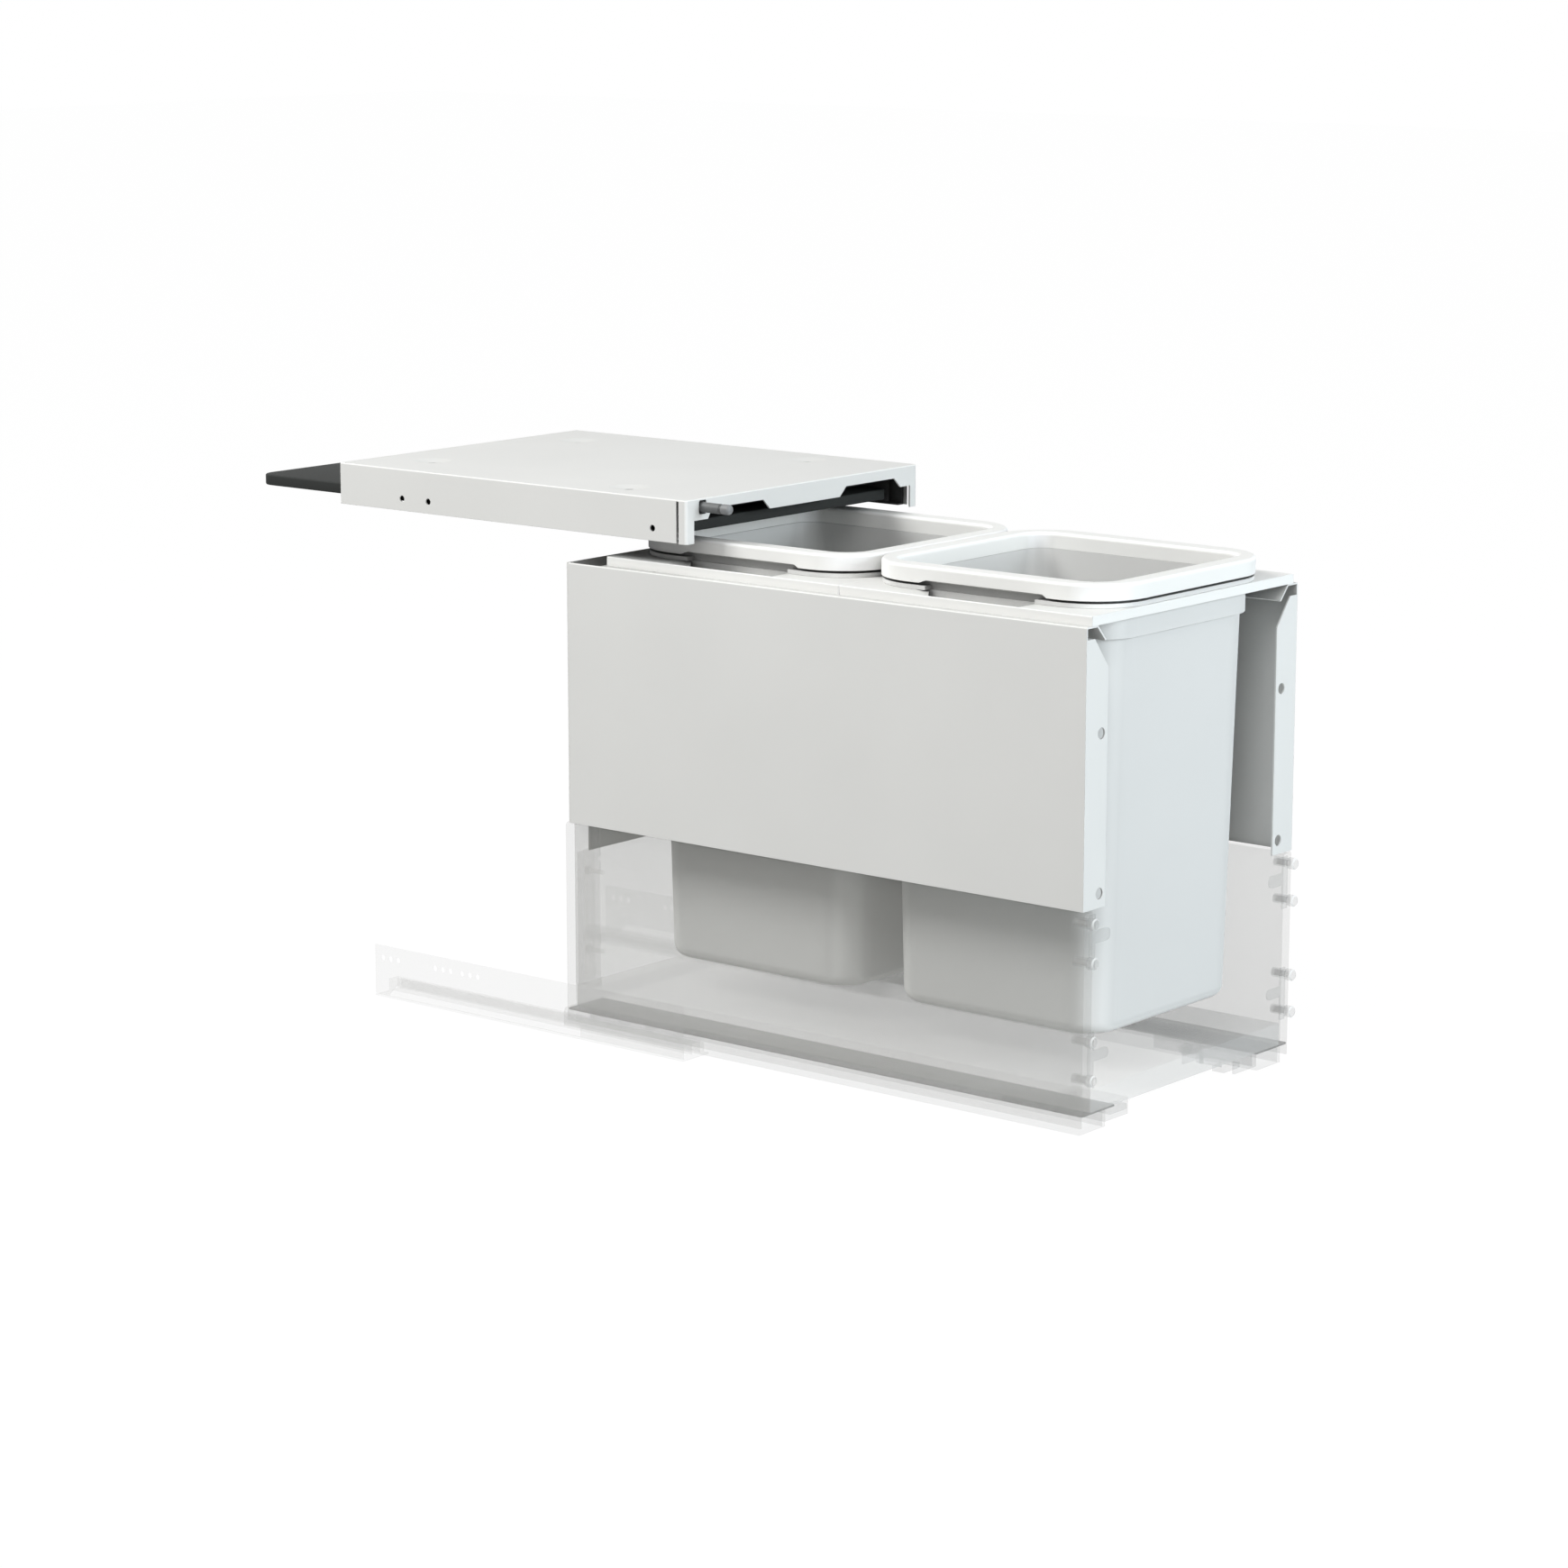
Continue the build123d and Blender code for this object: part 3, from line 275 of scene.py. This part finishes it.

# %% [markdown]
# ## Solid finishes
# A solid finish is the cloudy colour with a painted highlight on its folds and painted shade in
# its crevices. The same fine noise that varies the gloss also raises tiny bumps, which break up
# what the surface reflects.


# %% Solid finishes
# edge sets how much lighter the painted fold highlight is, and open_from sets where the painted
# crevice shade begins.
def solid_finish(name, colour, roughness, grain, bump, shift=0.03, metallic=0.0, gloss=0.5,
                 edge=1.2, open_from=0.7):
    material = bpy.data.materials.new(name)
    material.use_nodes = True
    tree = material.node_tree
    shader = tree.nodes["Principled BSDF"]
    shader.inputs["Metallic"].default_value = metallic
    shader.inputs["IOR"].default_value = refraction
    shader.inputs["Specular IOR Level"].default_value = gloss
    place = add(tree, "TexCoord")
    rounding = add(tree, "Bevel", {"Radius": fold_radius}, samples=4)
    clouded = cloudy_colour(tree, place, colour, 9, shift)
    edged = painted_fold_highlight(tree, clouded, rounding, colour, edge)
    shaded = painted_crevice_shade(tree, edged, open_from)
    fine = grainy_gloss(tree, place, shader, grain, 3, roughness, 0.05)
    raised = add(tree, "Bump", {"Strength": bump, "Distance": 0.2 * MM})
    join(tree, (shaded, MIXED, shader, "Base Color"), (fine, "Fac", raised, "Height"),
         (rounding, 0, raised, "Normal"), (raised, 0, shader, "Normal"))
    print("finish", name)
    return material


powder_coat = solid_finish("white_powder_coat", (0.77, 0.77, 0.755), 0.5, 700, 0.10)
moulded_white = solid_finish("moulded_white", (0.90, 0.90, 0.88), 0.42, 900, 0.08, 0.02,
                             open_from=0.3)
moulded_bin = solid_finish("moulded_bin", (0.72, 0.72, 0.71), 0.45, 800, 0.10, 0.02,
                           open_from=0.5)
lid_grey = solid_finish("dark_lid_plastic", (0.036, 0.038, 0.037), 0.7, 900, 0.20, gloss=0.12)
guide_grey = solid_finish("grey_guide_steel", (0.10, 0.10, 0.10), 0.5, 500, 0.10, gloss=0.3)
bush_black = solid_finish("black_bush_plastic", (0.02, 0.02, 0.02), 0.5, 900, 0.10)
plunger_grey = solid_finish("plunger_plastic", (0.12, 0.125, 0.125), 0.45, 900, 0.10)
tip_grey = solid_finish("tip_plastic", (0.21, 0.215, 0.22), 0.45, 900, 0.10)
zinc_steel = solid_finish("zinc_steel", (0.45, 0.45, 0.46), 0.35, 400, 0.10, 0.05, 0.9)

# %% [markdown]
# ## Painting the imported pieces
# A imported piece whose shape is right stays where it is. It only gets a new finish in place of
# the plain one that it came with.


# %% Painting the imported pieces
def paint(material, *names):
    for name in names:
        mesh = nodes[name].data
        mesh.materials.clear()
        mesh.materials.append(material)
    print(material.name, "on", len(names), "pieces")


paint(powder_coat, "cover_sheet", "frame_side_left", "frame_side_right", "frame_back")
paint(moulded_white, "top_plate_front", "top_plate_rear", "front_bag_ring", "rear_bag_ring")
paint(moulded_bin, "front_bin", "rear_bin")
paint(guide_grey, "lid_guide_left", "lid_guide_right", "lid_carriage")
paint(bush_black, "plunger_guide", "rod_guide")
paint(zinc_steel, "lid_pins")

# %% [markdown]
# ## See-through finishes
# The drawer, its runners and their fittings are shown as if made of clear plastic, so that
# the bins behind them can be seen. Each wall lets most light straight through and adds a
# little grey of its own, so two walls one behind the other look darker than one. Part of the
# grey is a painted glow: the wall gives it out evenly, though it is no lamp, so that it looks
# the same in light and in shade. The boards are milky, and hide more than the sheet does.
# Rays on their way to a lamp meet a Transparent shader instead, so that clear walls throw no
# shadow on what they hold.


# %% See-through finishes
def clear_finish(name, colour, share, painted_glow=0.0):
    """A wall that hides a share of what is behind it and glows evenly, a painted light though it
    is no lamp.
    """
    material = bpy.data.materials.new(name)
    material.use_nodes = True
    tree = material.node_tree
    shader = tree.nodes["Principled BSDF"]
    shader.inputs["Alpha"].default_value = share
    shader.inputs["Emission Color"].default_value = list(colour) + [1]
    shader.inputs["Emission Strength"].default_value = painted_glow
    shader.inputs["IOR"].default_value = refraction
    place = add(tree, "TexCoord")
    clouded = cloudy_colour(tree, place, colour, 12, 0.03)
    grainy_gloss(tree, place, shader, 600, 2, 0.45, 0.06)
    path = add(tree, "LightPath")
    shadowless = add(tree, "BsdfTransparent")
    chosen = add(tree, "MixShader")
    out = tree.nodes["Material Output"]
    join(tree, (clouded, "Color", shader, "Base Color"), (path, "Is Shadow Ray", chosen, 0),
         (shader, 0, chosen, 1), (shadowless, 0, chosen, 2), (chosen, 0, out, "Surface"))
    print("finish", name)
    return material


# The last number of each is its painted glow, given out evenly whatever light falls on the wall.
clear_side = clear_finish("clear_side", (0.30, 0.30, 0.285), 0.12, 0.3)
ledge_painted_shade = clear_finish("ledge_painted_shade", (0.20, 0.20, 0.19), 0.45)
milky_back = clear_finish("milky_back", (0.70, 0.70, 0.69), 0.22, 0.55)
milky_floor = clear_finish("milky_floor", (0.58, 0.58, 0.57), 0.34, 0.25)
clear_plate = clear_finish("clear_plate", (0.60, 0.60, 0.59), 0.08)
clear_runner = clear_finish("clear_runner", (0.40, 0.40, 0.39), 0.10)
clear_cage = clear_finish("clear_cage", (0.70, 0.70, 0.69), 0.03)
clear_bracket = clear_finish("clear_bracket", (0.40, 0.40, 0.39), 0.14)

# %% [markdown]
# ## Painting the clear pieces
# Everything below the white frame is clear or milky: what runs, what holds the boards and the
# front panel, and the boards themselves.

# %% Painting the clear pieces
paint(clear_side, "back_bracket_left", "back_bracket_right")
paint(milky_back, "drawer_back")
paint(milky_floor, "drawer_floor")
paint(clear_plate, "cabinet_runner_left", "cabinet_runner_right")
paint(clear_cage, "roller_cage_left", "roller_cage_right", "cage_rollers")
paint(clear_bracket, "front_bracket_left_upper", "front_bracket_left_lower",
      "front_bracket_right_upper", "front_bracket_right_lower",
      "catch_housing_left", "catch_housing_right", "catch_lever_left", "catch_lever_right")

# %% [markdown]
# ## Handing over a made piece
# Every new piece goes the same way: its mesh gets its finishes, its smooth faces are kept
# apart from its sharp ones by the angle between them, and it rides on the body of the packed
# piece that it stands for. Its corners are given in millimetres in the unit's own frame, so
# it needs no placing afterwards. Sheet metal is drawn as a surface and gets its thickness
# last, half to each side.

# %% Handing over
smooth_below = radians(32)


def hand_over(bm, name, finishes, body, *stands_for, wall=0):
    mesh = bpy.data.meshes.new(name)
    bm.to_mesh(mesh)
    bm.free()
    for finish in finishes:
        mesh.materials.append(finish)
    mesh.shade_smooth()
    mesh.set_sharp_from_angle(angle=smooth_below)
    piece = bpy.data.objects.new(name, mesh)
    scene.collection.objects.link(piece)
    if wall:
        thick = piece.modifiers.new("wall", "SOLIDIFY")
        thick.thickness = wall * MM
        thick.offset = 0
        thick.use_even_offset = True
    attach(piece, body)
    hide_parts(*stands_for)
    print(name, len(mesh.polygons), "faces")


# %% [markdown]
# ## Shaping and picking edges
# Three small jobs come back for several pieces. A half outline is spun a full turn about an
# axis along the drawer, and where it meets the axis the many copies of one point are merged
# into a closed pole. Edges are rounded with a bevel. The edges to round are found by their
# place: all those that lie at one height, or at one distance along the drawer.

# %% Shaping and picking edges
SAME_PLACE = 1e-6


def turned(bm, outline, x, z, steps=48):
    """Spin an outline of (place along Y, radius) about the axis through x and z."""
    line = [bm.verts.new(((x + r) * MM, y * MM, z * MM)) for y, r in outline]
    edges = [bm.edges.new(pair) for pair in zip(line, line[1:])]
    bmesh.ops.spin(
        bm, geom=line + edges, cent=(x * MM, 0, z * MM), axis=(0, 1, 0), dvec=(0, 0, 0),
        angle=radians(360), steps=steps, use_merge=True,
    )
    bmesh.ops.remove_doubles(bm, verts=bm.verts, dist=0.01 * MM)
    bmesh.ops.recalc_face_normals(bm, faces=bm.faces)


def rounded(bm, geom, radius, segments, affect="EDGES"):
    bmesh.ops.bevel(
        bm, geom=geom, offset=radius * MM, affect=affect, segments=segments, profile=0.5,
        material=-1, clamp_overlap=True,
    )


def lying_at(elements, axis, place):
    """The edges or faces whose corners all have this place on the axis, in millimetres."""
    return [e for e in elements
            if all(abs(v.co[axis] - place * MM) < SAME_PLACE for v in e.verts)]


print("corners closer than", SAME_PLACE / MM, "mm count as one place")

# %% [markdown]
# ## Plunger and its tip
# The plunger is a dark moulded pin with a thin steel rod behind it, and its tip is a softer
# grey cap on the pin's neck. Both are spun from a half outline, whose two ends meet the axis.
# The cap's front edge is then rounded until it is nearly half a ball.

# %% Plunger
pin_x, pin_z = -115.5, 403.3
pin_radius, rod_radius, neck_radius = 3.7, 2.0, 3.0
rod_end, shoulder, pin_front, cap_back, cap_front = 114, 40.4, -15.0, -17, -24.7
cap_rounding = 3.0

pin = bmesh.new()
turned(pin, [(rod_end, 0), (rod_end, 1.7), (113.7, rod_radius), (shoulder, rod_radius),
             (shoulder, 3.2), (39.8, pin_radius), (pin_front, pin_radius),
             (-15.5, neck_radius), (cap_back, neck_radius), (cap_back, 0)], pin_x, pin_z)
hand_over(pin, "turned_plunger", [plunger_grey], "plunger_carriage", "plunger")

cap = bmesh.new()
turned(cap, [(cap_back, 0), (cap_back, 3.4), (-17.3, pin_radius), (cap_front, pin_radius),
             (cap_front, 0)], pin_x, pin_z)
front_rim = [e for e in lying_at(cap.edges, 1, cap_front)
             if len({f.normal.to_tuple(3) for f in e.link_faces}) > 1]
rounded(cap, front_rim, cap_rounding, 8)
hand_over(cap, "rounded_tip", [tip_grey], "plunger_carriage", "plunger_tip")

# %% [markdown]
# ## Return spring
# The spring is a round wire spun about the plunger's axis, moved on a little at each step, so
# that the turns climb. It stands between the carriage and the rear bush, whose front is 100 mm
# behind the cover's edge. As the plunger is pushed in by 30 mm, the spring closes up towards
# that bush to a little under half its length.

# %% Return spring
coil_start, coil_length, coil_turns = 42.1, 57.6, 13
coil_radius, wire_radius, coil_steps = 2.7, 0.3, 20

wire = bmesh.new()
wire_start = Vector((pin_x + coil_radius, coil_start, pin_z)) * MM
bmesh.ops.create_circle(
    wire, cap_ends=False, radius=wire_radius * MM, segments=10,
    matrix=Matrix.Translation(wire_start),
)
bmesh.ops.spin(
    wire, geom=wire.verts[:] + wire.edges[:], cent=(pin_x * MM, 0, pin_z * MM),
    axis=(0, 1, 0), dvec=(0, coil_length / (coil_turns * coil_steps) * MM, 0),
    angle=radians(360 * coil_turns), steps=coil_turns * coil_steps,
)
bmesh.ops.holes_fill(wire, edges=wire.edges, sides=0)
bmesh.ops.recalc_face_normals(wire, faces=wire.faces)
hand_over(wire, "coil_spring", [zinc_steel], "cabinet_fixture", "return_spring")
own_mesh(bpy.data.objects["coil_spring"])

# %% [markdown]
# ## Dowels
# Eight short dowels enter holes in the cabinet's front panel. Each has a thin spigot in the
# bracket, a straight body and a chamfered end. The first one is spun and the others are
# copies of it, moved to their places. The rim of each end gets a brighter finish, a painted
# highlight.

# %% Dowels
dowel_places = [(x, z) for x in (-122.5, 122.5) for z in (152.7, 125.7, 71.3, 44.3)]
spigot_end, shoulder_at, chamfer_at, dowel_end = -331, -342.5, -347.4, -348.3
spigot_radius, dowel_radius = 2.2, 4.2
painted_rim_highlight = clear_finish("painted_rim_highlight", (0.95, 0.95, 0.94), 0.55)


def copy_to(bm, places):
    """Copy everything at the first place to all the others."""
    first = bm.verts[:] + bm.edges[:] + bm.faces[:]
    first_x, first_z = places[0]
    for x, z in places[1:]:
        copied = bmesh.ops.duplicate(bm, geom=first)["geom"]
        moved = [v for v in copied if isinstance(v, bmesh.types.BMVert)]
        bmesh.ops.translate(bm, verts=moved, vec=((x - first_x) * MM, 0, (z - first_z) * MM))


pegs = bmesh.new()
turned(pegs, [(spigot_end, 0), (spigot_end, 1.9), (-331.4, spigot_radius),
              (shoulder_at, spigot_radius), (shoulder_at, dowel_radius),
              (chamfer_at, dowel_radius), (dowel_end, 3.3), (dowel_end, 0)],
       *dowel_places[0], 32)
# The chamfer at each end gets the second, brighter finish: a painted highlight.
for face in pegs.faces:
    along = face.calc_center_median().y / MM
    face.material_index = 1 if dowel_end + 0.1 < along < chamfer_at else 0
copy_to(pegs, dowel_places)
hand_over(pegs, "panel_dowels", [clear_bracket, painted_rim_highlight], "drawer", "front_dowels")

# %% [markdown]
# ## A thread and a cross
# A screw's thread is a row of small ridges that thins towards the end. The driver's recess is
# marked out by flat cuts across the head's face: four cuts one way and four the other leave a
# cross of small faces in the middle.

# %% A thread and a cross
thread_radius, thread_pitch = 1.75, 1.1
cross_half_length, cross_half_width = 1.8, 0.45


def ridged(seat, end):
    """Half outline of a thread from under the head to its end."""
    steps = [(seat, thread_radius)]
    for n in range(int((seat - end - 2) / thread_pitch)):
        root = seat - 1.0 - thread_pitch * n
        steps += [(root, thread_radius * 0.78), (root - thread_pitch / 2, thread_radius)]
    return steps + [(end + 1.2, thread_radius * 0.7), (end, 0)]


def cross_cuts(bm, x, z, above):
    """Cut the head's face along the four sides of each bar of the cross."""
    for across in ((1, 0, 0), (0, 0, 1)):
        for cut in (-cross_half_length, -cross_half_width, cross_half_width, cross_half_length):
            top = [f for f in bm.faces if f.calc_center_median().y > above * MM]
            top_edges = list({e for f in top for e in f.edges})
            top_verts = list({v for f in top for v in f.verts})
            plane = ((x + cut * across[0]) * MM, 0, (z + cut * across[2]) * MM)
            bmesh.ops.bisect_plane(
                bm, geom=top + top_edges + top_verts, dist=1e-6, plane_co=plane,
                plane_no=across,
            )


print("a thread of 10 mm has", len(ridged(0, -10)), "points")

# %% [markdown]
# ## Screws
# The sheet frame is held by four pan head screws, and four more hold the back board. Head and
# thread are spun as one outline, and the faces of the cross are sunk as one region to make the
# driver's recess.

# %% Screws
head_height, head_radius, cross_depth = 2.2, 3.5, 1.1


def cross_screws(places, seat, end):
    bm = bmesh.new()
    x, z = places[0]
    head = [(seat + head_height, 0), (seat + head_height, 2.5), (seat + 1.7, 3.2),
            (seat + 0.9, head_radius), (seat, head_radius)]
    turned(bm, head + ridged(seat, end), x, z, 32)
    above = seat + head_height - 0.01
    cross_cuts(bm, x, z, above)
    cross = []
    for face in bm.faces:
        middle = face.calc_center_median() / MM
        near, far = sorted((abs(middle.x - x), abs(middle.z - z)))
        if middle.y > above and near < cross_half_width and far < cross_half_length:
            cross.append(face)
    bmesh.ops.inset_region(bm, faces=cross, thickness=0.12 * MM, depth=-cross_depth * MM)
    copy_to(bm, places)
    return bm


clear_screw = clear_finish("clear_screw", (0.40, 0.40, 0.39), 0.16)
corners = [(x, z) for x in (-122.8, 122.8) for z in (311.0, 174.0)]
hand_over(cross_screws(corners, 121.2, 110.0), "pan_screws", [zinc_steel], "drawer",
          "frame_screws")
corners = [(x, z) for x in (-101.0, 101.0) for z in (60.0, 120.0)]
hand_over(cross_screws(corners, 126.2, 112.0), "board_screws", [clear_screw], "drawer",
          "back_screws")

# %% [markdown]
# ## Lid
# The lid is a flat dark board whose front corners are almost square and whose rear corners
# are rounder. A single face is scaled to its outline, its corners are rounded as points, and
# the outline is pulled down to give the thickness. A small bevel then breaks both edges.

# %% Lid
lid_half_width, lid_front, lid_rear = 119, 20, 449.5
lid_top, lid_bottom = 391, 383
front_corner, rear_corner, broken_edge = 4, 14, 1.0

lid = bmesh.new()
bmesh.ops.create_grid(lid, x_segments=1, y_segments=1, size=0.5)
lid_size = (2 * lid_half_width * MM, (lid_rear - lid_front) * MM, 1)
bmesh.ops.scale(lid, verts=lid.verts, vec=lid_size)
lid_middle = (0, (lid_front + lid_rear) / 2 * MM, lid_top * MM)
bmesh.ops.translate(lid, verts=lid.verts, vec=lid_middle)
for end, corner in ((lid_front, front_corner), (lid_rear, rear_corner)):
    points = [v for v in lid.verts if abs(v.co.y - end * MM) < SAME_PLACE]
    rounded(lid, points, corner, 8, affect="VERTICES")
rim = bmesh.ops.extrude_edge_only(lid, edges=lid.edges[:])["geom"]
lower = [v for v in rim if isinstance(v, bmesh.types.BMVert)]
bmesh.ops.translate(lid, verts=lower, vec=(0, 0, (lid_bottom - lid_top) * MM))
lower_edges = [e for e in rim if isinstance(e, bmesh.types.BMEdge)]
bmesh.ops.contextual_create(lid, geom=lower_edges)
bmesh.ops.recalc_face_normals(lid, faces=lid.faces)
level = lying_at(lid.edges, 2, lid_top) + lying_at(lid.edges, 2, lid_bottom)
rounded(lid, level, broken_edge, 3)
hand_over(lid, "flat_lid", [lid_grey], "lid", "inner_lid")

# %% [markdown]
# ## Drawer sides
# Each drawer side is one steel sheet, folded into a hollow wall with a ledge at its foot for
# the floor board. A sheet is easiest to draw as the line of its section: the line is pulled
# along the drawer, its folds are rounded, and it is given its thickness last. The ledge is a
# second strip, which lies double, so its finish hides more; its darker colour is painted shade
# from the floor board above it. The right side is the left one mirrored.

# %% Drawer sides
side_front, side_rear = -341, 125
side_outer, side_inner, side_top, side_sheet = -126.75, -117.25, 160.25, 1.45
ledge_outer, ledge_inner, ledge_level = -126.0, -88.0, 19.4


def pulled(bm, line, y0, y1):
    """Pull a line of (x, z) points along Y."""
    points = [bm.verts.new((x * MM, y0 * MM, z * MM)) for x, z in line]
    edges = [bm.edges.new(pair) for pair in zip(points, points[1:])]
    swept = bmesh.ops.extrude_edge_only(bm, edges=edges)["geom"]
    far = [v for v in swept if isinstance(v, bmesh.types.BMVert)]
    bmesh.ops.translate(bm, verts=far, vec=(0, (y1 - y0) * MM, 0))


def round_folds(bm, radius, segments):
    rounded(bm, [e for e in bm.edges if len(e.link_faces) == 2], radius, segments)


def mirrored(bm, side):
    if side == "right":
        bmesh.ops.scale(bm, verts=bm.verts, vec=(-1, 1, 1))
    return bm


def drawer_side(side):
    bm = bmesh.new()
    pulled(bm, [(side_outer, 11), (side_outer, side_top), (side_inner, side_top),
                (side_inner, 20)], side_front, side_rear)
    round_folds(bm, 2.2, 5)
    pulled(bm, [(ledge_outer, ledge_level), (ledge_inner, ledge_level)], side_front, side_rear)
    # The ledge gets the second finish, which hides more as a double sheet and is darker as painted
    # shade under the floor board.
    for face in lying_at(bm.faces, 2, ledge_level):
        face.material_index = 1
    return mirrored(bm, side)


for side in ("left", "right"):
    hand_over(drawer_side(side), f"folded_side_{side}", [clear_side, ledge_painted_shade], "drawer",
              f"drawer_side_{side}", wall=side_sheet)

# %% [markdown]
# ## Drawer runners
# A runner is roll formed from one strip into a channel that is open below, and its bends are
# generous. The section's line is pulled along the runner as the drawer side was, and the
# front end is closed by a plate with the same round corners.

# %% Drawer runners
runner_front, runner_rear = -336.8, 132
runner_outer, runner_inner, runner_foot, runner_top = -123.25, -94.25, 5, 18.05
runner_sheet = 1.4


def drawer_runner(side):
    bm = bmesh.new()
    pulled(bm, [(runner_outer, runner_foot), (runner_outer, runner_top),
                (runner_inner, runner_top), (runner_inner, runner_foot)],
           runner_front, runner_rear)
    round_folds(bm, 3.2, 6)
    bmesh.ops.contextual_create(bm, geom=lying_at(bm.edges, 1, runner_front))
    return mirrored(bm, side)


for side in ("left", "right"):
    hand_over(drawer_runner(side), f"rolled_runner_{side}", [clear_runner], "drawer",
              f"drawer_runner_{side}", wall=runner_sheet)

# %% [markdown]
# ## Height wheels
# A small knurled wheel on each side sets the height of the front panel. It is spun like the
# plunger, every other face of its rim is sunk to make the knurl, and then it is turned to
# lie across the drawer.

# %% Height wheels
wheel_middle, wheel_radius, hub_end = 87, 4.0, 93.5
wheel_y, wheel_z = -281, 12.8
knurl_depth, knurl_margin = 0.3, 0.08


def height_wheel(side_sign):
    bm = bmesh.new()
    turned(bm, [(hub_end, 0), (hub_end, 1.5), (90, 1.5), (90, 3.6), (89.6, wheel_radius),
                (84.4, wheel_radius), (84, 3.6), (84, 1.2), (85, 1.0), (85, 0)], 0, 0, 36)
    rim = [f for f in bm.faces if abs(f.calc_center_median().y / MM - wheel_middle) < 0.1]
    rim.sort(key=lambda f: Vector((1, 0)).angle_signed(f.calc_center_median().xz))
    bmesh.ops.inset_individual(bm, faces=rim[::2], thickness=knurl_margin * MM,
                               depth=-knurl_depth * MM)
    turn = Matrix.Rotation(radians(-90 * side_sign), 3, "Z")
    bmesh.ops.rotate(bm, verts=bm.verts, cent=(0, 0, 0), matrix=turn)
    bmesh.ops.translate(bm, verts=bm.verts, vec=(0, wheel_y * MM, wheel_z * MM))
    return bm


for side, sign in (("left", -1), ("right", 1)):
    hand_over(height_wheel(sign), f"knurled_wheel_{side}", [clear_bracket], f"wheel_{side}",
              f"height_wheel_{side}")
